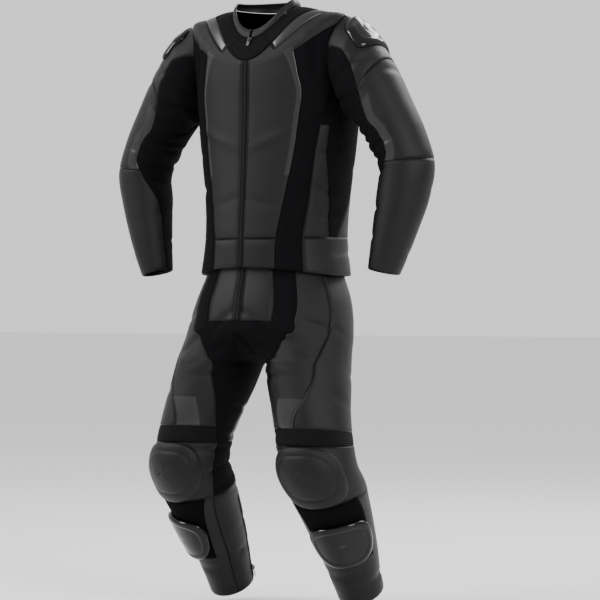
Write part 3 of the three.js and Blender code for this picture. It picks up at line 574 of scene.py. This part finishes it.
def panel(name, nodes, rects, material, slot, profile=rolled, accents=(), thick=SHELL, creased=1.0):
    """One cloth piece over rectangles of tubes: (tube, top row, bottom row, left column, right column).

    accents are rectangles of the same piece in gloss leather. profile gives the height above the tube from the
    distance to the border.
    """
    points, normals, cloth, faces, slots = [], [], [], [], []
    base = 0
    for k, (tube, *rect) in enumerate([*rects, *accents]):
        quad = tube.faces(*rect)
        used, index = np.unique(quad, return_inverse=True)
        rows, cols = used // tube.grid.shape[1], used % tube.grid.shape[1]
        g = tube.grid
        across = np.cumsum(np.linalg.norm(np.diff(g, axis=1, prepend=g[:, :1]), axis=2), axis=1)
        down = np.cumsum(np.linalg.norm(np.diff(g, axis=0, prepend=g[:1]), axis=2), axis=0)
        points.append(g[rows, cols] + tube.normal[rows, cols] * (tube.height[rows, cols] * creased)[:, None])
        normals.append(tube.normal[rows, cols])
        cloth.append(np.stack([across[rows, cols], down[rows, cols], 0 * rows], -1))
        faces.append(index.reshape(quad.shape) + base)
        slots.append(np.full(len(quad), int(k >= len(rects))))
        base += len(used)
    points, normals, cloth = map(np.concatenate, (points, normals, cloth))
    faces, slots = np.concatenate(faces), np.concatenate(slots)
    first, index = welded(points)
    points, normals, cloth, faces = points[first], normals[first], cloth[first], index[faces]
    area = .5 * np.linalg.norm(np.cross(points[faces[:, 2]] - points[faces[:, 0]],
                                        points[faces[:, 3]] - points[faces[:, 1]]), axis=1).sum()
    if slot == "leather" and profile is rolled:
        stitches(f"stitches_{name}", points, normals, faces)
    reach = edge_distance(points, faces)
    cloth[:, 2] = reach
    points = points + normals * profile(reach)[:, None]
    made = mesh_object(name, points, faces, [material, GLOSS], slots, cloth, thick)
    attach(made, "suit")
    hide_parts(*nodes)
    size = points.max(0) - points.min(0)
    long_side = max(size[2], size[0], SHORTEST_CUT) * CUT_SHARE
    area / long_side / 1000
    long_side / 1000


# Jacket: fronts, sides, back, yoke, hem bands, sleeves and zip tape. Gloss panels run down each front's edge and
# the elbow, and the throat flap lies over the zip's top.
def flap_profile(reach):
    """From .8 at the border up with the square root of the distance to 2.3 at 2.5 mm inside it."""
    return .8 + 1.5 * np.minimum(reach / 2.5, 1) ** .5


for side in SIDES:
    t, s = torso[side], sleeve[side]
    panel(f"front_panel_{side}", [f"jacket_front_{side}"],
          [(t, 1, 10, 1, 3), (t, 1, 2.5, 3, 4), (t, 8, 9, 3, 4), (t, 7.5, 9, 4, 7)], PERFORATED, "leather",
          accents=[(t, 2.5, 8, 3, 4)])
    panel(f"hem_band_front_panel_{side}", [f"jacket_hem_band_front_{side}"], [(t, 0, 1, 1, 4)], LEATHER, "leather")
    panel(f"side_wedge_panel_{side}", [f"jacket_side_wedge_{side}"], [(t, 1, 3.75, 5, 6)], PERFORATED, "leather")
    panel(f"stretch_panel_{side}", [f"jacket_and_sleeve_stretch_{side}"],
          [(t, 0, 7.5, 4, 5), (t, 3.75, 7.5, 5, 6), (t, 1, 7.5, 6, 7), (t, 1, 5.5, 8, 9), (s, 0, 10, 0, 5),
           (s, 0, 10, 13, 16)], STRETCH, "stretch_cloth")
    panel(f"shoulder_panel_{side}", [f"sleeve_shoulder_{side}"], [(s, 0, 2.6, 5, 13)], LEATHER, "leather")
    panel(f"upper_arm_panel_{side}", [f"sleeve_upper_arm_{side}"],
          [(s, 2.6, 3.2, 5, 6), (s, 2.6, 5.8, 6, 13)], LEATHER, "leather", accents=[(s, 3.2, 5.8, 5, 6)])
    panel(f"forearm_panel_{side}", [f"sleeve_forearm_{side}"], [(s, 5.8, 10, 5, 13)], LEATHER, "leather")
panel("back_panel", ["jacket_back"], [(torso[s], *r) for s in SIDES for r in ((1, 9, 9, 13), (5.5, 9, 8, 9))],
      LEATHER, "leather")
panel("hem_band_back_panel", ["jacket_hem_band_back"],
      [(torso[s], *r) for s in SIDES for r in ((0, 1, 5, 7), (0, 1, 8, 13))], LEATHER, "leather")
panel("yoke_strip_panel", ["jacket_yoke_strip"],
      [(torso[s], *r) for s in SIDES for r in ((9, 10, 3, 7), (9, 10, 8, 13))], GLOSS, "gloss_leather")
panel("yoke_panel", ["jacket_yoke"],
      [(torso[s], *r) for s in SIDES for r in ((10, 12, 1, 7), (10, 12, 8, 13))], RIBBED, "stretch_cloth")
panel("front_zip_tape", ["jacket_front_zip"], [(torso[s], 0, 12, 0, 1) for s in SIDES], TAPE, "zip_tape")
panel("throat_flap_panel", ["throat_flap"], [(torso[s], 10, 11.5, 0, 3) for s in SIDES], RIBBED, "stretch_cloth",
      profile=flap_profile, thick=1.2)

# Trousers: fly, gusset, thighs, knees, shins, calves and zip tapes. Ribbed stretch lies above each knee, and
# plain stretch behind it and between the legs.
panel("fly_zip_tape", ["trousers_fly_zip"], [(leg[s], 0, 3.2, 0, 1) for s in SIDES], TAPE, "zip_tape")
panel("gusset_panel", ["trousers_inner_stretch"],
      [(leg[s], *r) for s in SIDES for r in ((0, 3.2, 2, 3), (3.2, 8.9, 0, 3), (4, 8.9, 12, 15))],
      STRETCH, "stretch_cloth")
panel("seat_panel", ["trousers_back"], [(leg[s], 0, 8.9, 10, 12) for s in SIDES], LEATHER, "leather")
for side in SIDES:
    g = leg[side]
    panel(f"fly_panel_{side}", [f"trousers_fly_{side}"], [(g, 0, 3.2, 1, 2)], LEATHER, "leather")
    panel(f"thigh_front_panel_{side}", [f"thigh_front_{side}"],
          [(g, 0, 8.2, 3, 4), (g, 0, 7, 4, 6)], PERFORATED, "leather", accents=[(g, 7, 8.2, 4, 6)])
    panel(f"thigh_outer_panel_{side}", [f"thigh_outer_{side}"], [(g, 0, 8.2, 6, 10)], LEATHER, "leather")
    panel(f"knee_rib_panel_{side}", [f"knee_rib_band_{side}"], [(g, 8.2, 8.9, 3, 10)], RIBBED, "stretch_cloth")
    panel(f"knee_leather_{side}", [f"knee_panel_{side}"], [(g, 8.9, 11.2, 3, 10)], LEATHER, "leather")
    panel(f"knee_back_panel_{side}", [f"knee_back_stretch_{side}"],
          [(g, 8.9, 11.2, 10, 15), (g, 8.9, 11.2, 0, 3)], STRETCH, "stretch_cloth")
    panel(f"shin_panel_{side}", [f"shin_{side}"], [(g, 11.2, 16, 3, 10)], LEATHER, "leather")
    panel(f"calf_panel_{side}", [f"calf_{side}"],
          [(g, 11.2, 16, 10, 12), (g, 11.2, 12, 12, 13), (g, 11.2, 16, 13, 15), (g, 11.2, 16, 0, 3)],
          LEATHER, "leather")
    panel(f"ankle_zip_tape_{side}", [f"ankle_zip_{side}"], [(g, 12, 16, 12, 13)], TAPE, "zip_tape")

# Knee cups, knee sliders and shoulder cups as domes on rounded squares, and the flat loop patches.
# Share of the way from the middle to the border, and height above the panel, from the border inward.
CUP_PROFILE = [(1, .4), (.99, 3), (.97, 5.5), (.93, 7.6), (.88, 9), (.8, 10), (.74, 10.2), (.715, 9), (.69, 9),
               (.665, 10.8), (.6, 11.4), (.45, 11.9), (.25, 12.1), (0, 12.2)]
PUCK_PROFILE = [(.96, 3.2), (.965, 8), (.955, 11), (.93, 13.4), (.88, 15.2), (.81, 16.2), (.76, 16.2), (.74, 15),
                (.7, 15.2), (.55, 16), (.35, 16.6), (.15, 16.9), (0, 17)]
SHOULDER_PROFILE = [(1, .6), (.98, 3.6), (.94, 6), (.88, 7.6), (.8, 8.4), (.75, 8.4), (.73, 7.4), (.66, 8.2),
                    (.63, 7.4), (.56, 8.4), (.53, 7.6), (.46, 8.7), (.3, 8.9), (0, 9)]
SQUARENESS = 2.8
ROUND_STEPS = 96
MIDDLE_RING = .002
PATTERN_STEP = 6
CUP_INSIDE = 30.0


def patch_profile(reach):
    """From .5 at the border up a quarter circle to 2.4 at 2 mm inside it."""
    return .5 + 1.9 * (1 - (1 - np.minimum(reach / 2, 1)) ** 2) ** .5


def raised(name, node, tube, rect, profile, material):
    """A closed shell over a rounded square of a tube: rings from its border in to its middle, each at a height.

    The rounded square keeps |a|^n + |b|^n = 1 with a and b running from -1 to 1 across the rectangle.
    """
    top, bottom = tube.rows.index(rect[0]) * FINE, tube.rows.index(rect[1]) * FINE
    left, right = rect[2:]
    turn = np.arange(ROUND_STEPS) / ROUND_STEPS * 2 * np.pi
    c, s = np.cos(turn), np.sin(turn)
    far = (np.abs(c) ** SQUARENESS + np.abs(s) ** SQUARENESS) ** (-1 / SQUARENESS)
    share, height = np.array(profile, float).T
    share = np.where(share == 0, MIDDLE_RING, share)[:, None]
    i = (top + bottom) / 2 + share * (far * s) * (bottom - top) / 2
    j = ((left + right) + share * (far * c) * (right - left)) * FINE / 2
    i0, j0 = np.floor(i).astype(int), np.floor(j).astype(int)
    i0, j0 = np.minimum(i0, len(tube.grid) - 2), np.minimum(j0, tube.grid.shape[1] - 2)
    u, v = (i - i0)[..., None], (j - j0)[..., None]

    def between(f):
        upper = f[i0, j0] * (1 - v) + f[i0, j0 + 1] * v
        lower = f[i0 + 1, j0] * (1 - v) + f[i0 + 1, j0 + 1] * v
        return upper * (1 - u) + lower * u

    points, normals = between(tube.grid), between(tube.normal)
    points = points + normals * height[:, None, None]
    rings, wide = points.shape[:2]
    k, m = np.meshgrid(np.arange(rings - 1), np.arange(wide), indexing="ij")
    after = (m + 1) % wide
    quad = np.stack([k * wide + m, k * wide + after, (k + 1) * wide + after, (k + 1) * wide + m], -1)
    quad = quad.reshape(-1, 4)
    p = points.reshape(-1, 3)
    way = np.cross(p[quad[:, 2]] - p[quad[:, 0]], p[quad[:, 3]] - p[quad[:, 1]])
    if (way * normals.reshape(-1, 3)[quad[:, 0]]).sum() < 0:
        quad = quad[:, ::-1]
    cloth = np.stack([j * PATTERN_STEP, i * PATTERN_STEP, np.full(i.shape, CUP_INSIDE)], -1)
    made = mesh_object(name, p, quad, [material], None, cloth.reshape(-1, 3), SHELL)
    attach(made, "suit")
    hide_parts(node)


for side in SIDES:
    g, s = leg[side], sleeve[side]
    raised(f"knee_cup_shell_{side}", f"knee_cup_{side}", g, (8.9, 11.2, 4, 8), CUP_PROFILE, LEATHER)
    panel(f"loop_patch_pile_{side}", [f"loop_patch_{side}"], [(g, 11.2, 13.9, 4, 8)], LOOP, "loop_tape",
          profile=patch_profile, creased=0)
    raised(f"knee_slider_puck_{side}", f"knee_slider_{side}", g, (12, 13.9, 4, 8), PUCK_PROFILE, PLASTIC)
    raised(f"shoulder_cup_shell_{side}", f"shoulder_cup_{side}", s, (.5, 2, 6, 11), SHOULDER_PROFILE, PLASTIC)

# Collar: a band from the neck to its top edge, open at the front. Its top ring has the columns of a torso ring
# after its number: heights, half width and depths.
COLLAR_TOP = [-20, 51, 54, 76, -106, -44, 21]
COLLAR_STEPS = 12
COLLAR_BULGE = 2.2
COLLAR_WAVE = .36
COLLAR_CLOTH = 60
COLLAR_THICK = 3


def collar():
    """The neck ring and the collar's top ring joined, bulging slightly, from one front edge round to the other."""
    neck = np.concatenate([torso["left"].grid[-1, FINE:7 * FINE + 1], torso["left"].grid[-1, 8 * FINE + 1:]])
    base = np.concatenate([neck, (neck * [-1, 1, 1])[::-1][1:]])
    half, front_y, side_y, back_y = TORSO[-1][4:8]
    deep = np.where(base[:, 1] < side_y, side_y - front_y, back_y - side_y)
    angle = np.degrees(np.arctan2(base[:, 0] / half, -(base[:, 1] - side_y) / deep))
    ring = np.array([[0, *COLLAR_TOP]], float).T
    top = body_points(ring, angle[None, :])[0]
    t = np.linspace(0, 1, COLLAR_STEPS + 1)[:, None, None]
    grid = base + (top - base) * t
    centre = np.array([0, side_y, 0])
    out = (grid - centre) * [1, 1, 0]
    out /= np.linalg.norm(out, axis=2)[..., None]
    grid = grid + out * (COLLAR_BULGE * np.sin(np.pi * t) + COLLAR_WAVE * np.sin(np.pi * t * 6) ** 2)
    wide = grid.shape[1]
    i, j = np.meshgrid(np.arange(COLLAR_STEPS), np.arange(wide - 1), indexing="ij")
    quad = np.stack([i * wide + j, i * wide + j + 1, (i + 1) * wide + j + 1, (i + 1) * wide + j], -1)
    quad = quad.reshape(-1, 4)
    arc = np.cumsum(np.linalg.norm(np.diff(base, axis=0, prepend=base[:1]), axis=1))
    down, reach = t[..., 0] * COLLAR_CLOTH, np.minimum(t, 1 - t)[..., 0] * COLLAR_CLOTH
    cloth = np.stack(np.broadcast_arrays(arc[None, :], down, reach), -1).reshape(-1, 3)
    made = mesh_object("collar_band", grid.reshape(-1, 3), quad, [LEATHER], None, cloth, COLLAR_THICK)
    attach(made, "suit")
    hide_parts("jacket_collar")


collar()

# Zips: the sliders, the pulls and the hidden connection zip keep their own shape, and the closed zips get one
# row of teeth down the middle of their tape.
for node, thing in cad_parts.items():
    if node.endswith(("_pull_tab", "_slider")):
        thing.data.materials.clear()
        thing.data.materials.append(METAL)
    elif node == "connection_zip":
        thing.data.materials.clear()
        thing.data.materials.append(TAPE)

TOOTH = (1.3, 4.4, 1.6)
TOOTH_STEP = 2.3


def teeth(name, line, out):
    """Teeth at equal steps along a closed zip's middle line."""
    far = np.concatenate([[0], np.cumsum(np.linalg.norm(np.diff(line, axis=0), axis=1))])
    place = np.arange(TOOTH_STEP, far[-1] - TOOTH_STEP, TOOTH_STEP)
    centre = np.stack([np.interp(place, far, line[:, k]) for k in range(3)], 1)
    away = np.stack([np.interp(place, far, out[:, k]) for k in range(3)], 1)
    along = np.gradient(centre, axis=0)
    along /= np.linalg.norm(along, axis=1)[:, None]
    away -= along * (away * along).sum(1)[:, None]
    away /= np.linalg.norm(away, axis=1)[:, None]
    beads(name, centre, along, away, TOOTH, TEETH)


def middle(tube, top, bottom, column):
    """Points and normals down one column of a tube between two rows, lifted by the creases."""
    i0, i1 = tube.rows.index(top) * FINE, tube.rows.index(bottom) * FINE + 1
    j = round(column * FINE)
    rise = tube.height[i0:i1, j][:, None]
    return tube.grid[i0:i1, j] + tube.normal[i0:i1, j] * rise, tube.normal[i0:i1, j]


teeth("front_zip_teeth", *middle(torso["left"], 0, 10, 0))
teeth("fly_zip_teeth", *middle(leg["left"], 0, 3.2, 0))
for side in SIDES:
    teeth(f"ankle_zip_teeth_{side}", *middle(leg[side], 12, 15, 12.5))

# Floor, light and camera, in metres. Lamps are given by place, size and power. The camera looks level at the
# suit from its left side of the front, turned by CAMERA_TURN degrees.
FLOOR_Z = -1.372
FLOOR_HALF = 40
SKY = 1.1
floor_mesh = bpy.data.meshes.new("floor")
corners = [(FLOOR_HALF * x, FLOOR_HALF * y, FLOOR_Z) for x, y in ((-1, -1), (1, -1), (1, 1), (-1, 1))]
floor_mesh.from_pydata(corners, [], [(0, 1, 2, 3)])
floor = bpy.data.objects.new("floor", floor_mesh)
bpy.context.scene.collection.objects.link(floor)
pale = bpy.data.materials.new("pale_floor")
pale.use_nodes = True
pale.node_tree.nodes["Principled BSDF"].inputs["Base Color"].default_value = (.82, .82, .82, 1)
pale.node_tree.nodes["Principled BSDF"].inputs["Roughness"].default_value = .9
floor_mesh.materials.append(pale)
world = bpy.data.worlds.new("studio")
world.use_nodes = True
world.node_tree.nodes["Background"].inputs[0].default_value = (1, 1, 1, 1)
world.node_tree.nodes["Background"].inputs[1].default_value = SKY
bpy.context.scene.world = world
LIGHTS = [((-2.6, -2.6, 1.9), 1.6, 170), ((3.6, -1.6, 1.0), 1.6, 130), ((.4, 2.6, 1.8), 1.6, 90)]
for k, (where, size, power) in enumerate(LIGHTS):
    lamp = bpy.data.lights.new(f"softbox_{k}", "AREA")
    lamp.size, lamp.energy = size, power
    holder = bpy.data.objects.new(f"softbox_{k}", lamp)
    aim = np.array([0, 0, -.6]) - where
    holder.location = where
    yaw, pitch = math.atan2(-aim[0], aim[1]), math.atan2(aim[2], math.hypot(aim[0], aim[1]))
    holder.rotation_euler = (math.pi / 2 + pitch, 0, yaw)
    bpy.context.scene.collection.objects.link(holder)
CAMERA_TURN = 32
CAMERA_FAR = 6
CAMERA_ASIDE = .054
CAMERA_Z = -.646
turn = math.radians(CAMERA_TURN)
view = bpy.data.cameras.new("photo_view")
view.lens, view.sensor_width = 153.2, 36
camera = bpy.data.objects.new("photo_view", view)
camera.location = (CAMERA_ASIDE * math.cos(turn) + CAMERA_FAR * math.sin(turn),
                   CAMERA_ASIDE * math.sin(turn) - CAMERA_FAR * math.cos(turn), CAMERA_Z)
camera.rotation_euler = (math.pi / 2, 0, turn)
bpy.context.scene.collection.objects.link(camera)
bpy.context.scene.camera = camera
